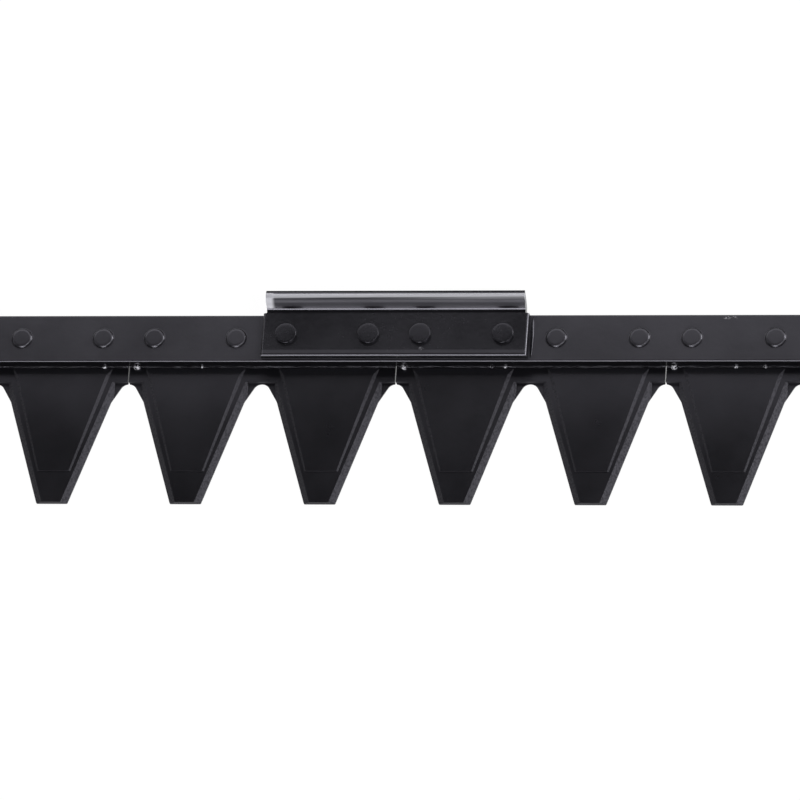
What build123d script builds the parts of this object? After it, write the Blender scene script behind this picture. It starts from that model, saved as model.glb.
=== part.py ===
"""Knife of a double-knife sickle bar mower: toothed blade sections riveted under a flat knife back.

X runs along the knife, the teeth point to -Y and Z is up. The blade sections lie on z = 0.
All sizes are in millimetres.
"""

import math
import os

from build123d import *

# Blade sections of two teeth each, punched from strip steel
section_count = 4
tooth_pitch = 70.0
section_gap = 0.5
blade_thickness = 3.0
tooth_reach = 75.5
tip_width = 16.2
tip_corner_radius = 0.8
shoulder_width = 53.0
shoulder_distance = 18.8
gullet_half_angle = 30.5
gullet_radius = 4.5
gap_corner_radius = 0.6

# Cutting bevels ground on the upper side of both flanks of a tooth
bevel_width = 3.0
edge_land = 0.8
grinding_margin = 1.0

# Relief round each gullet root, sunk from above to the height of the edge land
relief_width = 14.0
relief_distance = 8.4

# Panel pressed up in the middle of a tooth, with a hollow of the same form below it
panel_height = 1.0
panel_tip_height = 0.5
panel_setback = 1.0
panel_tip_distance = 17.0
panel_tip_width = 17.5
panel_half_angle = 17.0
panel_side_taper = 60.0
panel_rear_ramp = 4.0
panel_tip_ramp = 0.2

# Knife back, one flat bar on top of the sections
bar_width = 26.0
bar_thickness = 7.0
bar_edge_radius = 0.9

# Guide plate on the bar, with its rear lip folded up
plate_length = 138.6
plate_thickness = 5.0
plate_front_setback = 1.1
plate_edge_roll = 1.5
fold_inner_radius = 2.5
fold_inset = 1.05
lip_angle = 65.0
lip_straight = 7.26
lip_crest_radius = 4.0
lip_end_inset = 1.9
lip_root_radius = 0.3

# Rivets with a low head above and a tail flush with the blade's underside
rivet_spacing = 43.0
rivet_diameter = 6.0
rivet_clearance = 0.05
plain_head_diameter = 10.8
plain_head_height = 1.4
plate_head_diameter = 11.0
plate_head_height = 2.0

# Places that follow from the sizes above
teeth_per_section = 2
section_pitch = teeth_per_section * tooth_pitch
section_length = section_pitch - section_gap
bar_length = section_count * section_pitch
fold_outer_radius = fold_inner_radius + plate_thickness
lip_sine = math.sin(math.radians(lip_angle))
lip_cosine = math.cos(math.radians(lip_angle))
lip_overhang = fold_outer_radius * lip_sine + lip_straight * lip_cosine - fold_inset
knife_depth = tooth_reach + bar_width + lip_overhang
tip_y = -knife_depth / 2
bar_front = tip_y + tooth_reach
bar_rear = bar_front + bar_width
bar_middle = bar_front + bar_width / 2
shoulder_y = bar_front - shoulder_distance
relief_rear = bar_front - relief_distance
fold_y = bar_rear - fold_inset
plate_front = bar_front + plate_front_setback
bar_top = blade_thickness + bar_thickness
plate_top = bar_top + plate_thickness
hole_radius = rivet_diameter / 2 + rivet_clearance
tooth_places = [-tooth_pitch / 2, tooth_pitch / 2]
gullet_places = [-section_pitch / 2, 0, section_pitch / 2]
section_places = [(index - (section_count - 1) / 2) * section_pitch for index in range(section_count)]
rivet_offsets = [tooth + side * rivet_spacing / 2 for tooth in tooth_places for side in (-1, 1)]
rivet_places = [section + offset for section in section_places for offset in rivet_offsets]
plate_rivet_places = [x for x in rivet_places if abs(x) < plate_length / 2]


def save(piece, name):
    """Label one finished piece and write its file."""
    piece.label = name
    export_step(piece, f"parts/{name}.step")


os.makedirs("parts", exist_ok=True)

# Gullet between two teeth: cutting edges up to the shoulders, then steeper flanks to a round root
with BuildSketch() as gullet:
    mouth_half = (tooth_pitch - tip_width) / 2
    neck_half = (tooth_pitch - shoulder_width) / 2
    root_y = shoulder_y + neck_half / math.tan(math.radians(gullet_half_angle))
    with BuildLine():
        Polyline(
            (-mouth_half, tip_y),
            (-neck_half, shoulder_y),
            (0, root_y),
            (neck_half, shoulder_y),
            (mouth_half, tip_y),
            close=True,
        )
    make_face()
    fillet(gullet.vertices().sort_by(Axis.Y)[-1], gullet_radius)

# Raised panel of one tooth: it rises over a ramp in front of the bar and falls slowly to the tip
with BuildPart() as panel:
    panel_rear = bar_front - panel_setback
    panel_front = tip_y + panel_tip_distance
    panel_widening = math.tan(math.radians(panel_half_angle))
    panel_rear_half = panel_tip_width / 2 + (panel_rear - panel_front) * panel_widening
    foot_front = panel_front - panel_height * math.tan(math.radians(panel_side_taper))
    foot_front_half = panel_rear_half - (panel_rear - foot_front) * panel_widening
    with BuildSketch():
        with BuildLine():
            Polyline(
                (-foot_front_half, foot_front),
                (foot_front_half, foot_front),
                (panel_rear_half, panel_rear),
                (-panel_rear_half, panel_rear),
                close=True,
            )
        make_face()
    extrude(amount=panel_height, taper=panel_side_taper)
    with BuildSketch(Plane.YZ):
        with BuildLine():
            Polyline(
                (panel_front, 0),
                (panel_rear, 0),
                (panel_rear - panel_rear_ramp, panel_height),
                (panel_front + panel_tip_ramp, panel_tip_height),
                close=True,
            )
        make_face()
    extrude(amount=tooth_pitch / 2, both=True, mode=Mode.INTERSECT)

# What the grinding wheel takes off one tooth: a wedge along each edge, up to the relief of the gullet root
with BuildPart() as bevels:
    edge_slant = math.atan2((shoulder_width - tip_width) / 2, shoulder_y - tip_y)
    edge_run = Vector(math.sin(edge_slant), math.cos(edge_slant), 0)
    edge_inward = Vector(-edge_run.Y, edge_run.X, 0)
    wedge_start = Vector(tip_width / 2, tip_y, 0) - edge_run * bevel_width
    bevel_slope = (blade_thickness - edge_land) / bevel_width
    wedge_low = edge_land - grinding_margin * bevel_slope
    wedge_high = blade_thickness + grinding_margin * bevel_slope
    with BuildSketch(Plane(origin=wedge_start, x_dir=edge_inward, z_dir=edge_run)):
        with BuildLine():
            Polyline(
                (-grinding_margin, wedge_low),
                (bevel_width + grinding_margin, wedge_high),
                (-grinding_margin, wedge_high),
                close=True,
            )
        make_face()
    extrude(amount=tooth_reach + bevel_width)
    with BuildSketch():
        with Locations((0, tip_y - bevel_width)):
            Rectangle(
                tooth_pitch - relief_width,
                relief_rear - tip_y + bevel_width,
                align=(Align.CENTER, Align.MIN),
            )
    extrude(amount=wedge_high, mode=Mode.INTERSECT)
    mirror(about=Plane.YZ)

# One blade section: punched blank, gullet reliefs, pressed panels, ground edges and rivet holes
with BuildPart() as section:
    with BuildSketch() as blank:
        with Locations((0, tip_y)):
            Rectangle(section_length, bar_rear - tip_y, align=(Align.CENTER, Align.MIN))
        with Locations(*[(x, 0) for x in gullet_places]):
            add(gullet.sketch, mode=Mode.SUBTRACT)
        end_columns = blank.vertices().group_by(Axis.X)
        fillet([end_columns[end].sort_by(Axis.Y)[0] for end in (0, -1)], gap_corner_radius)
        fillet(blank.vertices().group_by(Axis.Y)[0], tip_corner_radius)
    extrude(amount=blade_thickness)
    with BuildSketch(Plane.XY.offset(edge_land)):
        with Locations(*[(x, relief_rear) for x in gullet_places]):
            Rectangle(relief_width, shoulder_distance, align=(Align.CENTER, Align.MAX))
    extrude(amount=blade_thickness, mode=Mode.SUBTRACT)
    with Locations(*[(x, 0, blade_thickness) for x in tooth_places]):
        add(panel.part)
    with Locations(*[(x, 0, 0) for x in tooth_places]):
        add(panel.part, mode=Mode.SUBTRACT)
        add(bevels.part, mode=Mode.SUBTRACT)
    with Locations(*[(x, bar_middle, blade_thickness) for x in rivet_offsets]):
        Hole(hole_radius, depth=blade_thickness)

for number, place in enumerate(section_places, start=1):
    save(section.part.moved(Location((place, 0, 0))), f"blade_section_{number}")

# Knife back: a drawn flat bar with rounded edges and one hole for every rivet
with BuildPart() as knife_back:
    with BuildSketch(Plane.XY.offset(blade_thickness)):
        with Locations((0, bar_middle)):
            Rectangle(bar_length, bar_width)
    extrude(amount=bar_thickness)
    fillet(knife_back.edges().filter_by(Axis.X), bar_edge_radius)
    with Locations(*[(x, bar_middle, bar_top) for x in rivet_places]):
        Hole(hole_radius, depth=bar_thickness)

save(knife_back.part, "knife_back")

# Guide plate: a flat strip on the bar, its rear edge folded up into a leaning lip
with BuildPart() as guide_plate:
    with BuildSketch(Plane.YZ) as strip:
        with BuildLine():
            under_side = Line((plate_front, bar_top), (fold_y, bar_top))
            outer_fold = JernArc(under_side @ 1, under_side % 1, fold_outer_radius, lip_angle)
            lip_back = PolarLine(outer_fold @ 1, lip_straight, direction=outer_fold % 1)
            upper_side = Line((plate_front, plate_top), (fold_y, plate_top))
            inner_fold = JernArc(upper_side @ 1, upper_side % 1, fold_inner_radius, lip_angle)
            lip_front = PolarLine(inner_fold @ 1, lip_straight, direction=inner_fold % 1)
            Line(lip_back @ 1, lip_front @ 1)
            Line(under_side @ 0, upper_side @ 0)
        make_face()
        fillet(strip.vertices().sort_by_distance(lip_front @ 1)[0], lip_crest_radius)
    extrude(amount=plate_length / 2, both=True)
    with BuildSketch(Plane.XY.offset(bar_top)) as end_notches:
        with Locations((plate_length / 2 - lip_end_inset, fold_y)):
            Rectangle(plate_length, knife_depth, align=(Align.MIN, Align.MIN))
        fillet(end_notches.vertices().group_by(Axis.Y)[0].sort_by(Axis.X)[0], lip_root_radius)
        mirror(about=Plane.YZ)
    extrude(amount=knife_depth, mode=Mode.SUBTRACT)
    upper_face = guide_plate.faces().filter_by(Axis.Z).sort_by(Axis.Z)[-1]
    front_edge = upper_face.edges().filter_by(Axis.X).sort_by(Axis.Y)[0]
    fillet([front_edge] + upper_face.edges().filter_by(Axis.Y), plate_edge_roll)
    with Locations(*[(x, bar_middle, plate_top) for x in plate_rivet_places]):
        Hole(hole_radius, depth=plate_thickness)

save(guide_plate.part, "guide_plate")


def rivet(seat, head_diameter, head_height):
    """One set rivet about the Z axis, its head seated at the given height."""
    with BuildPart() as piece:
        with BuildSketch(Plane.XZ):
            with BuildLine():
                Polyline(
                    (0, 0),
                    (rivet_diameter / 2, 0),
                    (rivet_diameter / 2, seat),
                    (head_diameter / 2, seat),
                    (head_diameter / 2, seat + head_height),
                    (0, seat + head_height),
                    close=True,
                )
            make_face()
        revolve(axis=Axis.Z)
    return piece.part


plain_rivet = rivet(bar_top, plain_head_diameter, plain_head_height)
plate_rivet = rivet(plate_top, plate_head_diameter, plate_head_height)

# Rivets of each section that hold no plate, and the longer ones through the plate
for number, place in enumerate(section_places, start=1):
    plain_places = [place + offset for offset in rivet_offsets if place + offset not in plate_rivet_places]
    with BuildPart() as section_rivets:
        with Locations(*[(x, bar_middle, 0) for x in plain_places]):
            add(plain_rivet)
    save(section_rivets.part, f"section_{number}_rivets")

with BuildPart() as plate_rivets:
    with Locations(*[(x, bar_middle, 0) for x in plate_rivet_places]):
        add(plate_rivet)

save(plate_rivets.part, "plate_rivets")
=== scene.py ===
import math

import bpy
from mathutils import Matrix, Vector


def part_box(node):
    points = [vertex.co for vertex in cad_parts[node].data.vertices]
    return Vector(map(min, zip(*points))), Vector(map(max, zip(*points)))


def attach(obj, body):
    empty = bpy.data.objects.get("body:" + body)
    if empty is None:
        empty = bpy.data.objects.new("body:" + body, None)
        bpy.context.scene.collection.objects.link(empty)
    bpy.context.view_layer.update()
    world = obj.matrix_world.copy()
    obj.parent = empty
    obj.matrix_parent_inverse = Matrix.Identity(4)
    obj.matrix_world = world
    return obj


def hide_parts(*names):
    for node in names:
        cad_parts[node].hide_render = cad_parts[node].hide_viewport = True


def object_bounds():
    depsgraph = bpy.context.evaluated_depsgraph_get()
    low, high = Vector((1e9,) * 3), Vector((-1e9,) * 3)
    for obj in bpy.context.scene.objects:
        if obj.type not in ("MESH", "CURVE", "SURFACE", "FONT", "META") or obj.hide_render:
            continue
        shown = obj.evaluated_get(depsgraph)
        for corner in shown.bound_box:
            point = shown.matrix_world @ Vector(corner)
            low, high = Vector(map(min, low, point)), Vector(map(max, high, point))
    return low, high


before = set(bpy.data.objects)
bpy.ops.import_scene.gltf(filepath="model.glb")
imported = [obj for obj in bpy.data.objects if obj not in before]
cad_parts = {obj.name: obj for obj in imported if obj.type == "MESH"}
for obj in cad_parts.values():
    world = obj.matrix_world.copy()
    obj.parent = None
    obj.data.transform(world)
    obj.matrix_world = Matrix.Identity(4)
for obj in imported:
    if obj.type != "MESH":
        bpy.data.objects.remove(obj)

cad_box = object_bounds()

# Knife back: a drawn flat steel bar, dipped in black enamel after the knife was riveted together.
# The enamel dried to a satin film, a little dusty on the flat top, with a few chips near the rear edge.


class Wire:
    """A shader socket that can be used in sums and products."""

    def __init__(self, tree, socket):
        self.tree = tree
        self.socket = socket

    def node(self, kind, settings, sockets, output=0):
        """One output of a new node, with its settings made and its sockets filled or linked."""
        made = self.tree.nodes.new(kind)
        for name, value in settings.items():
            setattr(made, name, value)
        for name, value in sockets.items():
            if isinstance(value, Wire):
                self.tree.links.new(value.socket, made.inputs[name])
            else:
                made.inputs[name].default_value = value
        return Wire(self.tree, made.outputs[output])

    def math(self, operation, first, second):
        return self.node("ShaderNodeMath", {"operation": operation}, {0: first, 1: second})

    def __add__(self, other):
        return self.math("ADD", self, other)

    __radd__ = __add__

    def __sub__(self, other):
        return self.math("SUBTRACT", self, other)

    def __rsub__(self, other):
        return self.math("SUBTRACT", other, self)

    def __mul__(self, other):
        return self.math("MULTIPLY", self, other)

    __rmul__ = __mul__

    def feed(self, socket):
        """Links this value to a socket of a node that is already there."""
        self.tree.links.new(self.socket, socket)

    def noise(self, scale, detail=2.0, roughness=0.5):
        """Soft noise on these coordinates, from 0 to 1."""
        sockets = {"Vector": self, "Scale": scale, "Detail": detail, "Roughness": roughness}
        return self.node("ShaderNodeTexNoise", {}, sockets)

    def ramp(self, low, high, start=0.0, stop=1.0):
        """A smooth step from start to stop as this value goes from low to high."""
        sockets = {"Value": self, "From Min": low, "From Max": high, "To Min": start, "To Max": stop}
        return self.node("ShaderNodeMapRange", {"interpolation_type": "SMOOTHSTEP"}, sockets)

    def band(self, low, high, fade):
        """1 where this value lies between low and high, and 0 elsewhere, with a soft change at both."""
        return self.ramp(low - fade / 2, low + fade / 2) * self.ramp(high + fade / 2, high - fade / 2)

    def part(self, axis):
        """One of the three values of a vector."""
        return self.node("ShaderNodeSeparateXYZ", {}, {"Vector": self}, output=axis)

    def facing(self, axis):
        """How far the surface faces along an axis."""
        return self.node("ShaderNodeTexCoord", {}, {}, output="Normal").part(axis)

    def stretch(self, scale):
        """These coordinates drawn out, so that a pattern on them runs along an axis."""
        return self.node("ShaderNodeMapping", {}, {"Vector": self, "Scale": scale})

    def blend(self, first, second):
        """A colour between two colours, with this value as the share of the second."""
        settings = {"data_type": "RGBA", "clamp_factor": True}
        return self.node("ShaderNodeMix", settings, {0: self, 6: first, 7: second}, output=2)


def new_material(name):
    """A new node material, its Principled shader and its Object coordinates."""
    material = bpy.data.materials.new(name)
    material.use_nodes = True
    tree = material.node_tree
    coordinates = tree.nodes.new("ShaderNodeTexCoord").outputs["Object"]
    return material, tree.nodes["Principled BSDF"], Wire(tree, coordinates)


# The film's grain: clouds of dust, single specks and the fine peel of the surface
cloud_scale = 22
cloud_range = (0.3, 0.7)
speck_scale = 900
speck_range = (0.66, 0.74)
speck_dust = 0.02
speck_dullness = 0.04
sheen_drift = 0.03
peel_scale = 420
peel_depth = 0.0003
peel_strength = 0.1
cool_reflection = (0.89, 0.87, 1.0, 1)

# Steel that shows where the film is gone, also painted on the plate's lip and on the drops as highlights
bare_steel_and_highlight = (0.46, 0.46, 0.49, 1)
bare_roughness = 0.45
bare_metal = 0.4

# What counts as facing up, as the end of a piece, and as an upright or also a leaning edge
level_range = (0.6, 0.95)
endwise_range = (0.45, 0.3)
upright_edges = (0.3, 0.12)
leaning_edges = (0.85, 0.7)


def black_enamel(
    name, film_colour, dust_and_light_colour, dust_range, roughness, edge_roughness,
    edge_range=upright_edges, painted_light=None, wear_and_highlight=None, scuff=None
):
    """Black enamel, dusty on what faces up, and another sheen on front and rear edges.

    From a place on the piece, settle adds painted light and shade through the dusty colour, rub gives the
    share of steel colour, worn in places and painted as highlights in others, and scuff adds roughness.
    """
    material, shader, place = new_material(name)
    upward = place.facing("Z")
    endwise = place.facing("X")
    clouds = place.noise(cloud_scale, detail=4, roughness=0.6)
    specks = place.noise(speck_scale, detail=1).ramp(*speck_range)

    dust_and_light = clouds.ramp(*cloud_range, *dust_range) + specks * speck_dust
    # On the teeth and the plate, settle adds painted light and shade in the dust colour
    if painted_light:
        dust_and_light = dust_and_light + painted_light(place)
    dust_and_light = dust_and_light * upward.ramp(*level_range)
    colour = dust_and_light.blend((*film_colour, 1), (*dust_and_light_colour, 1))

    edge = (upward * upward).ramp(*edge_range) * (endwise * endwise).ramp(*endwise_range)
    dullness = roughness + clouds.ramp(*cloud_range, -sheen_drift, sheen_drift) + specks * speck_dullness
    dullness = dullness + edge * (edge_roughness - roughness)
    # Steel shows where the film is worn, and on the lip and the drops it is painted on as highlights
    if wear_and_highlight:
        bare_and_highlight = wear_and_highlight(place)
        colour = bare_and_highlight.blend(colour, bare_steel_and_highlight)
        dullness = dullness + bare_and_highlight * (bare_roughness - roughness)
        (bare_and_highlight * bare_metal).feed(shader.inputs["Metallic"])
    if scuff:
        dullness = dullness + scuff(place)

    peel = {"Height": place.noise(peel_scale), "Strength": peel_strength, "Distance": peel_depth}
    place.node("ShaderNodeBump", {}, peel).feed(shader.inputs["Normal"])
    colour.feed(shader.inputs["Base Color"])
    dullness.feed(shader.inputs["Roughness"])
    shader.inputs["Specular Tint"].default_value = cool_reflection
    return material


def paint_node(name, material):
    """Gives a CAD node its finish."""
    for material_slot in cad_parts[name].material_slots:
        material_slot.material = material


bar_low, bar_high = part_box("knife_back")
chips_left = 0.169
chips_right = 0.176
chips_near = 0.0009
chips_far = 0.00254
chips_end_fade = 0.001
chips_side_fade = 0.00045
chip_grain = 1100
chip_range = (0.52, 0.58)
chip_bareness = 0.35


def edge_chips(place):
    """A few faint chipped spots near the rear edge of the bar, to the right of the plate."""
    along = place.part("X").band(chips_left, chips_right, chips_end_fade)
    inset = (bar_high.y - place.part("Y")).band(chips_near, chips_far, chips_side_fade)
    return along * inset * place.noise(chip_grain, detail=1).ramp(*chip_range, stop=chip_bareness)


bar_enamel = black_enamel(
    "bar_enamel",
    film_colour=(0.003, 0.0029, 0.0034),
    dust_and_light_colour=(0.03, 0.029, 0.034),
    dust_range=(0.45, 0.65),
    roughness=0.33,
    edge_roughness=0.15,
    edge_range=leaning_edges,
    wear_and_highlight=edge_chips,
)
paint_node("knife_back", bar_enamel)

# Blade sections: two-tooth sections punched from strip, each tooth with a pressed panel and ground edges.
# They are riveted under the bar and dipped with it, so the same enamel lies on them, darker and cleaner,
# and it took a mottled grain on the ground edges.
section_numbers = range(1, 5)
tip_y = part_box("blade_section_1")[0].y
plate_low, plate_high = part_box("guide_plate")

# Painted sheen on the teeth, by the distance ahead of the bar with painted shade close to it, then by the
# distance from the knife's middle with a painted shadow in front of the plate
blade_sheen_reach = (0.04534, 0.00734)
bar_shade_strip = (0.00384, 0.00684)
plate_shadow_start = plate_high.x - 0.003
plate_shadow_stop = plate_high.x + 0.0042
plate_shadow_levels = (0.15, 0.9)

# Grain of the sloping faces, and the front ends of the panels by their distance behind the tips
slope_from_level = (0.985, 0.96)
slope_from_wall = (0.5, 0.7)
mottle_grain = 1000
mottle_range = (0.35, 0.65)
mottle_dullness = (0.06, 0.45)
panel_end_front = 0.01616
panel_end_rear = 0.01796
panel_end_fade = 0.0004
panel_end_steepness = (0.7, 0.5)
panel_end_dullness = 0.25


def blade_painted_light(place):
    """Painted sheen towards the rear of the teeth, with painted shade close to the bar and a painted shadow
    in front of the plate.
    """
    along = place.part("X")
    ahead = bar_low.y - place.part("Y")
    rear = ahead.ramp(*blade_sheen_reach) * ahead.ramp(*bar_shade_strip)
    return rear * (along * along).ramp(plate_shadow_start**2, plate_shadow_stop**2, *plate_shadow_levels)


def blade_scuff(place):
    """A mottled film on the ground edges and panel sides, and a dull one on the panels' front ends."""
    upward = place.facing("Z")
    slope = upward.ramp(*slope_from_level) * upward.ramp(*slope_from_wall)
    mottle = place.noise(mottle_grain).ramp(*mottle_range, *mottle_dullness)
    behind_tip = place.part("Y") - tip_y
    panel_end = behind_tip.band(panel_end_front, panel_end_rear, panel_end_fade)
    return slope * mottle + panel_end * upward.ramp(*panel_end_steepness) * panel_end_dullness


blade_enamel = black_enamel(
    "blade_enamel",
    film_colour=(0.0026, 0.0025, 0.0031),
    dust_and_light_colour=(0.012, 0.0116, 0.014),
    dust_range=(0.0, 0.15),
    roughness=0.3,
    edge_roughness=0.7,
    painted_light=blade_painted_light,
    scuff=blade_scuff,
)
for number in section_numbers:
    paint_node(f"blade_section_{number}", blade_enamel)

# Guide plate: a thick steel plate riveted on the bar, its rear edge folded up into a leaning lip.
# It is dipped with the rest of the knife, and its lip shows steel along the crest and at the left end,
# partly rubbed wear and partly painted highlight.
plate_thickness = 0.005
bar_top = bar_high.z
plate_top = bar_top + plate_thickness

# Painted light on the plate, by the distance behind its front edge: lighter towards the front, leaving
# painted shade by the lip, and a painted highlight strip just behind the rolled edge
plate_light_reach = (0.02056, 0.00056)
plate_light_share = 0.15
highlight_strip_front = (0.00076, 0.00166)
highlight_strip_rear = (0.00376, 0.00256)
highlight_strip_share = 0.4

# Steel on the lip, partly wear and partly painted highlight, by the inset from its rear edge, the rise from
# the plate's top and the place along it
crest_front = (0.00436, 0.00336)
crest_rear = (0.00176, 0.00216)
crest_rise = (0.0045, 0.0055)
crest_slant = 0.004
tail_along = (-0.02, 0.05)
tail_front = (0.00526, 0.00426)
tail_rear = (0.00296, 0.00356)
tail_share = 0.3
front_inset = (0.00366, 0.00466)
front_rise = (0.0018, 0.0055)
front_share = 0.07
left_end_along = (0.0068, 0.0043)
left_end_inset = (0.00116, 0.00216)
left_end_rise = (0.0008, 0.0018)
dull_inset = (0.00366, 0.00516)
dull_rise = (0.0015, 0.0035)
lip_dullness = 0.35
streak_grain = (14, 1500, 1500)
crest_streaks = (0.25, 0.6)
crest_streak_share = 0.75
front_streaks = (0.4, 0.75)


def plate_painted_light(place):
    """Lighter towards the plate's front edge as painted light, leaving painted shade by the lip, with a
    painted highlight strip just behind the rolled edge.
    """
    behind_edge = place.part("Y") - plate_low.y
    highlight_strip = behind_edge.ramp(*highlight_strip_front) * behind_edge.ramp(*highlight_strip_rear)
    return behind_edge.ramp(*plate_light_reach, stop=plate_light_share) + highlight_strip * highlight_strip_share


def lip_place(place):
    """How far in from the lip's rear edge and how far up from the plate's top a place lies."""
    return plate_high.y - place.part("Y"), place.part("Z") - plate_top


def lip_wear_and_highlight(place):
    """Steel on the lip's crest and left end, and in faint streaks on its front, partly worn and partly
    painted highlight.
    """
    along = place.part("X")
    inset, rise = lip_place(place)
    streaks = place.stretch(streak_grain).noise(1, detail=3, roughness=0.6)
    crest = (inset + along * crest_slant).ramp(*crest_front)
    crest = crest * inset.ramp(*crest_rear) * rise.ramp(*crest_rise)
    tail = along.ramp(*tail_along) * inset.ramp(*tail_front) * inset.ramp(*tail_rear)
    crest = (crest + tail * tail_share) * streaks.ramp(*crest_streaks, start=crest_streak_share)
    front = rise.ramp(*front_rise) * inset.ramp(*front_inset)
    front = front * streaks.ramp(*front_streaks, stop=front_share)
    left_end = (along - plate_low.x).ramp(*left_end_along)
    left_end = left_end * rise.ramp(*left_end_rise) * inset.ramp(*left_end_inset)
    return crest + front + left_end


def lip_scuff(place):
    """The duller paint of the lip's front."""
    inset, rise = lip_place(place)
    return rise.ramp(*dull_rise) * inset.ramp(*dull_inset) * lip_dullness


plate_enamel = black_enamel(
    "plate_enamel",
    film_colour=(0.003, 0.0029, 0.0036),
    dust_and_light_colour=(0.05, 0.049, 0.056),
    dust_range=(0.0, 0.04),
    roughness=0.22,
    edge_roughness=0.17,
    edge_range=leaning_edges,
    painted_light=plate_painted_light,
    wear_and_highlight=lip_wear_and_highlight,
    scuff=lip_scuff,
)
paint_node("guide_plate", plate_enamel)

# Rivets: steel rivets with low round heads on top and tails set flush with the blades below.
# The enamel rounds their rims and draws up into a small collar where each head meets the bar or the plate.
rivet_pair = 0.043
shank_radius = 0.003
rivet_sides = 64
rim_steps = 6
crown_shares = (0.8, 0.6, 0.4, 0.2)
rivet_smoothing = math.radians(40)


def deselect_all():
    bpy.ops.object.select_all(action="DESELECT")


def join_all(pieces):
    """Makes one object of several."""
    deselect_all()
    for piece in pieces:
        piece.select_set(True)
    bpy.context.view_layer.objects.active = pieces[0]
    if len(pieces) > 1:
        bpy.ops.object.join()
    return bpy.context.object


def raise_ring(axis, height, radius, last):
    """Extrudes the open end of a turned body to a new height and radius."""
    last_height, last_radius = last
    bpy.ops.mesh.extrude_region_move(TRANSFORM_OT_translate={"value": (0, 0, height - last_height)})
    scale = radius / last_radius
    bpy.ops.transform.resize(value=(scale, scale, 1), center_override=(axis.x, axis.y, height))
    return height, radius


def turn_rivet(axis, seat, head_radius, head_top, rim, crown, collar):
    """Turns one rivet about a vertical axis, from its flush tail to its slightly domed head.

    The rim is an arc, given as its width and the angles in degrees at which it starts and stops.
    """
    deselect_all()
    bpy.ops.mesh.primitive_circle_add(
        vertices=rivet_sides, radius=shank_radius, fill_type="NGON", location=(axis.x, axis.y, 0)
    )
    bpy.ops.object.transform_apply(location=True, rotation=True, scale=True)
    bpy.ops.object.mode_set(mode="EDIT")
    bpy.ops.mesh.select_all(action="SELECT")
    ring = raise_ring(axis, seat, shank_radius, (0.0, shank_radius))

    # The collar of paint is a hollow slope from the seat up to the side of the head
    ring = raise_ring(axis, seat, head_radius + collar, ring)
    ring = raise_ring(axis, seat + 0.25 * collar, head_radius + 0.3 * collar, ring)
    ring = raise_ring(axis, seat + collar, head_radius, ring)

    rim_width, start, stop = rim
    turns = [math.radians(start + (stop - start) * step / rim_steps) for step in range(rim_steps + 1)]
    rim_radius = rim_width / (math.cos(turns[0]) - math.cos(turns[-1]))
    rim_foot = head_top - crown - rim_radius * (math.sin(turns[-1]) - math.sin(turns[0]))
    for turn in turns:
        inset = rim_radius * (math.cos(turns[0]) - math.cos(turn))
        height = rim_foot + rim_radius * (math.sin(turn) - math.sin(turns[0]))
        ring = raise_ring(axis, height, head_radius - inset, ring)
    for share in crown_shares:
        ring = raise_ring(axis, head_top - crown * share**2, (head_radius - rim_width) * share, ring)

    bpy.ops.mesh.select_all(action="SELECT")
    bpy.ops.mesh.normals_make_consistent(inside=False)
    bpy.ops.object.mode_set(mode="OBJECT")
    bpy.ops.object.shade_smooth_by_angle(angle=rivet_smoothing)
    return bpy.context.object


def dress_rivets(node, seat, head, material):
    """Makes the rivets of one node as finished pieces, in pairs along it, and lets them stand for it."""
    low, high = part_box(node)
    head_radius = (high.y - low.y) / 2
    middle = (high.y + low.y) / 2
    first = low.x + head_radius
    last = high.x - head_radius
    places = [first, last]
    if last - first > rivet_pair + head_radius:
        places = [first, first + rivet_pair, last - rivet_pair, last]
    turned = [turn_rivet(Vector((x, middle, 0)), seat, head_radius, high.z, **head) for x in places]
    piece = join_all(turned)
    piece.name = f"{node}_set"
    piece.data.materials.append(material)
    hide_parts(node)
    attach(piece, "root")


bar_head = {"rim": (0.0009, 30, 60), "crown": 0.00003, "collar": 0.0004}
plate_head = {"rim": (0.0003, 0, 90), "crown": 0.00004, "collar": 0.00008}
rivet_enamel = black_enamel(
    "rivet_enamel",
    film_colour=(0.0035, 0.0034, 0.004),
    dust_and_light_colour=(0.03, 0.029, 0.034),
    dust_range=(0.4, 0.6),
    roughness=0.33,
    edge_roughness=0.2,
)
plate_rivet_enamel = black_enamel(
    "plate_rivet_enamel",
    film_colour=(0.003, 0.0029, 0.0036),
    dust_and_light_colour=(0.02, 0.0195, 0.023),
    dust_range=(0.0, 0.3),
    roughness=0.25,
    edge_roughness=0.12,
)
for number in section_numbers:
    dress_rivets(f"section_{number}_rivets", bar_top, bar_head, rivet_enamel)
dress_rivets("plate_rivets", plate_top, plate_head, plate_rivet_enamel)

# Paint beads: where the bar stands on the sections, the enamel drew into a thin hollow bead along its foot.
# One bead lies on each section, and it stops at the gaps between them.
bead_size = 0.0007
bead_tuck = 0.6 * bead_size
bead_hollow = 0.92 * bead_size
bead_unevenness = 0.04 * bead_size
bead_end_gap = 0.0002
bead_cuts = 30
paint_smoothing = math.radians(50)
foot = Vector((0, bar_low.y, bar_low.z))


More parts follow.
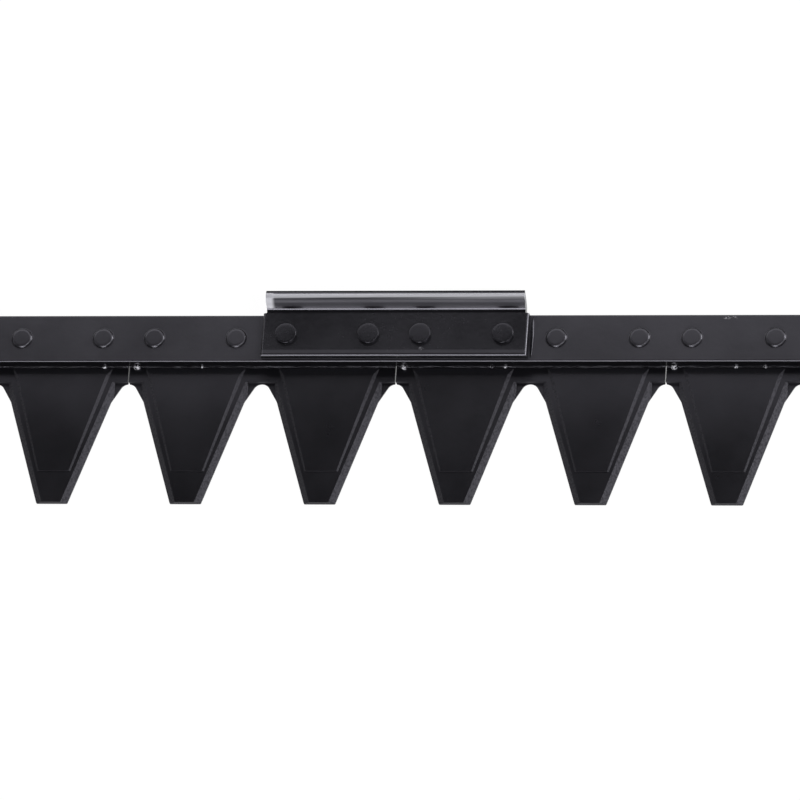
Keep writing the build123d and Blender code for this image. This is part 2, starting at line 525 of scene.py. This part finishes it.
def lay_bead(name, first, last, seed):
    """A thin hollow bead of paint along the bar's foot, slightly uneven along its length."""
    deselect_all()
    bpy.ops.mesh.primitive_cube_add(
        size=1,
        location=((first + last) / 2, foot.y + (bead_tuck - bead_size) / 2, foot.z + bead_size / 2),
        scale=(last - first, bead_size + bead_tuck, bead_size),
    )
    bead = bpy.context.object
    bead.name = name
    bpy.ops.object.transform_apply(location=True, rotation=True, scale=True)

    # The upper front edge is bevelled to a hollow
    for vertex in bead.data.vertices:
        vertex.select = vertex.co.y < foot.y and vertex.co.z > foot.z + bead_size / 2
    for edge in bead.data.edges:
        edge.select = all(bead.data.vertices[index].select for index in edge.vertices)
    for face in bead.data.polygons:
        face.select = False
    bpy.ops.object.mode_set(mode="EDIT")
    bpy.ops.mesh.select_mode(type="EDGE")
    bpy.ops.mesh.bevel(offset=bead_hollow, segments=5, profile=0.18, affect="EDGES")
    bpy.ops.object.mode_set(mode="OBJECT")

    # The long edges are divided, so that the bead can waver
    for edge in bead.data.edges:
        ends = [bead.data.vertices[index].co for index in edge.vertices]
        edge.select = abs(ends[0].x - ends[1].x) > (last - first) / 2
    bpy.ops.object.mode_set(mode="EDIT")
    bpy.ops.mesh.subdivide(number_cuts=bead_cuts)
    bpy.ops.mesh.select_all(action="SELECT")
    bpy.ops.transform.vertex_random(offset=bead_unevenness, uniform=0.2, normal=0.5, seed=seed)
    bpy.ops.mesh.normals_make_consistent(inside=False)
    bpy.ops.object.mode_set(mode="OBJECT")
    bpy.ops.object.shade_smooth_by_angle(angle=paint_smoothing)
    return bead


wet_look = {
    "film_colour": (0.004, 0.0039, 0.0046),
    "dust_and_light_colour": (0.012, 0.0116, 0.014),
    "dust_range": (0.0, 0.2),
    "roughness": 0.12,
    "edge_roughness": 0.12,
}
wet_enamel = black_enamel("wet_enamel", **wet_look)
for number in section_numbers:
    low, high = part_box(f"blade_section_{number}")
    bead = lay_bead(f"foot_bead_{number}", low.x + bead_end_gap, high.x - bead_end_gap, seed=number)
    bead.data.materials.append(wet_enamel)
    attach(bead, "root")

# Paint drops: where the dipped knife drained, lumps set beside the gaps and along the foot of the bar.
# They are thick glossy enamel with bright patches painted on as glints, and a fainter one lies on the
# plate.
# One long run of the same paint lies on the bar along the right end of the plate.
drop_base = 0.5
drop_unevenness = 0.1
drop_glint_grain = 900
drop_glint_range = (0.45, 0.55)
plate_drop_range = (plate_top - 0.0015, plate_top - 0.0005)
plate_drop_glint_share = 0.12


def set_drop(place, reach, uneven, seed):
    """One set lump of paint: an uneven ball, cut flat below and squashed to its reach."""
    deselect_all()
    bpy.ops.mesh.primitive_ico_sphere_add(subdivisions=4, radius=1, location=(0, 0, 0))
    bpy.ops.object.mode_set(mode="EDIT")
    bpy.ops.mesh.select_all(action="SELECT")
    bpy.ops.transform.vertex_random(offset=uneven, uniform=0.0, normal=0.0, seed=seed)
    bpy.ops.mesh.vertices_smooth(factor=0.5, repeat=4)
    bpy.ops.mesh.bisect(plane_co=(0, 0, -drop_base), plane_no=(0, 0, 1), use_fill=True, clear_inner=True)
    bpy.ops.mesh.select_all(action="SELECT")
    bpy.ops.transform.resize(value=reach, center_override=(0, 0, 0))
    bpy.ops.transform.translate(value=(place.x, place.y, place.z + drop_base * reach[2]))
    bpy.ops.mesh.normals_make_consistent(inside=False)
    bpy.ops.object.mode_set(mode="OBJECT")
    bpy.ops.object.shade_smooth_by_angle(angle=paint_smoothing)
    return bpy.context.object


def finish_drops(name, drops, material):
    """Makes one piece of the lumps, in the paint of the bar."""
    joined = join_all(drops)
    joined.name = name
    joined.data.materials.append(material)
    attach(joined, "root")


def drop_painted_glints(place):
    """Painted glints: bright steel-coloured patches on the lumps of paint, fainter on the one that lies on
    the plate.
    """
    glint_spots = place.noise(drop_glint_grain, detail=1).ramp(*drop_glint_range)
    return glint_spots * place.part("Z").ramp(*plate_drop_range, start=1.0, stop=plate_drop_glint_share)


gap_drop = (0.0018, 0.0015, 0.0016)
gap_drop_aside = 0.0042
gap_drop_ahead = 0.0005
small_drop = (0.0011, 0.0009, 0.0008)
small_drop_places = (-0.153, -0.102, 0.050, 0.057, 0.176, 0.191)
small_drop_ahead = 0.0003
plate_drop = (0.0014, 0.001, 0.0005)
plate_drop_place = Vector((0.0144, 0.0252, plate_top))
drop_places = []
for number in section_numbers[:-1]:
    left_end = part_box(f"blade_section_{number}")[1].x
    right_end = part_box(f"blade_section_{number + 1}")[0].x
    gap = (left_end + right_end) / 2
    drop_places.append((Vector((gap + gap_drop_aside, foot.y - gap_drop_ahead, foot.z)), gap_drop))
for x in small_drop_places:
    drop_places.append((Vector((x, foot.y - small_drop_ahead, foot.z)), small_drop))
drop_places.append((plate_drop_place, plate_drop))
drops = []
for seed, (place, reach) in enumerate(drop_places):
    drops.append(set_drop(place, reach, drop_unevenness, seed))
drop_enamel = black_enamel("drop_enamel", **wet_look, wear_and_highlight=drop_painted_glints)
finish_drops("paint_drops", drops, drop_enamel)

run_aside = 0.0015
run_end_gap = 0.0015
run_half_width = 0.0009
run_half_length = (bar_high.y - bar_low.y) / 2 - run_end_gap
run_height = 0.0006
run_unevenness = 0.02
run_place = Vector((plate_high.x + run_aside, (bar_low.y + bar_high.y) / 2, bar_top))
run_reach = (run_half_width, run_half_length, run_height)
paint_run = set_drop(run_place, run_reach, run_unevenness, seed=len(drops))
finish_drops("paint_run", [paint_run], wet_enamel)

# Floor: a plain white table that the knife lies on.
# The camera and reflections see it as an even white, and elsewhere it throws back light as matt paint does.
floor_size = 6.0
floor_gap = 0.0002
floor_share = 0.94
floor_glow = 1.02
deselect_all()
bpy.ops.mesh.primitive_plane_add(size=floor_size, location=(0, 0, cad_box[0][2] - floor_gap))
floor = bpy.context.object
floor.name = "floor"
white, white_shader, white_place = new_material("white_table")
white_shader.inputs["Base Color"].default_value = (0.88, 0.88, 0.88, 1)
white_shader.inputs["Roughness"].default_value = 0.9
white_shader.inputs["Specular IOR Level"].default_value = 0.0
white_rays = ("Is Camera Ray", "Is Glossy Ray", "Is Transmission Ray")
seen = sum(white_place.node("ShaderNodeLightPath", {}, {}, output=ray) for ray in white_rays)
matt = Wire(white.node_tree, white_shader.outputs[0])
glow = white_place.node("ShaderNodeEmission", {}, {"Strength": floor_glow})
surface = white_place.node("ShaderNodeMixShader", {}, {0: seen * floor_share, 1: matt, 2: glow})
surface.feed(white.node_tree.nodes["Material Output"].inputs["Surface"])
floor.data.materials.append(white)

# Light: a dim room with soft lit screens round the knife, and a pale backdrop that only the camera sees.
# A large low screen in front lights the edges, and a near strip behind lights the flat tops.
# Smaller ones light the two sides, the right-hand ends and the slopes that face right.
world = bpy.data.worlds.new("room")
world.use_nodes = True
bpy.context.scene.world = world
background = world.node_tree.nodes["Background"]
background.inputs["Color"].default_value = (0.04, 0.04, 0.042, 1)
dim = Wire(world.node_tree, background.outputs[0])
backdrop = dim.node("ShaderNodeBackground", {}, {"Color": (0.8, 0.8, 0.8, 1)})
camera_ray = dim.node("ShaderNodeLightPath", {}, {}, output="Is Camera Ray")
room = dim.node("ShaderNodeMixShader", {}, {0: camera_ray, 1: dim, 2: backdrop})
room.feed(world.node_tree.nodes["World Output"].inputs["Surface"])


def soft_screen(name, tilt, lean, distance, width, height, radiance):
    """A lit screen that faces the knife, tilted from overhead to the front and leaned to the right."""
    light = bpy.data.lights.new(name, "AREA")
    light.shape = "RECTANGLE"
    light.size = width
    light.size_y = height
    light.energy = radiance * math.pi * width * height
    lamp = bpy.data.objects.new(name, light)
    bpy.context.collection.objects.link(lamp)
    turn = Matrix.Rotation(math.radians(lean), 4, "Y") @ Matrix.Rotation(math.radians(tilt), 4, "X")
    lamp.matrix_world = turn @ Matrix.Translation((0, 0, distance))


soft_screen("front_screen", tilt=70, lean=-8, distance=5.0, width=2.6, height=2.7, radiance=10.0)
soft_screen("rear_screen", tilt=-48, lean=-8, distance=0.48, width=1.4, height=0.29, radiance=2.0)
soft_screen("right_screen", tilt=6, lean=55, distance=3.0, width=2.0, height=2.0, radiance=1.6)
soft_screen("left_screen", tilt=6, lean=-70, distance=3.0, width=1.6, height=1.6, radiance=0.9)
soft_screen("rim_screen", tilt=-23, lean=77, distance=3.0, width=1.3, height=1.3, radiance=12.0)
soft_screen("corner_screen", tilt=29, lean=35, distance=5.0, width=2.0, height=2.0, radiance=7.0)

# Camera: a long lens far off, to the front right of the knife and well above it.
# It is rolled so that the bar lies level across the picture.
picture_width = 800
focal_pixels = 8000
azimuth = math.radians(24.086)
elevation = math.radians(64.809)
roll = math.radians(-22.015)
distance = 4.0994
target = Vector((0.00362, 0.00088, 0.005))
camera_data = bpy.data.cameras.new("camera")
camera_data.sensor_width = 36
camera_data.lens = focal_pixels / picture_width * camera_data.sensor_width
camera = bpy.data.objects.new("camera", camera_data)
bpy.context.collection.objects.link(camera)
bpy.context.scene.camera = camera
turn = Matrix.Rotation(azimuth, 4, "Z") @ Matrix.Rotation(math.pi / 2 - elevation, 4, "X")
turn = turn @ Matrix.Rotation(roll, 4, "Z")
camera.matrix_world = Matrix.Translation(target) @ turn @ Matrix.Translation((0, 0, distance))

bpy.context.scene.view_settings.view_transform = "Standard"
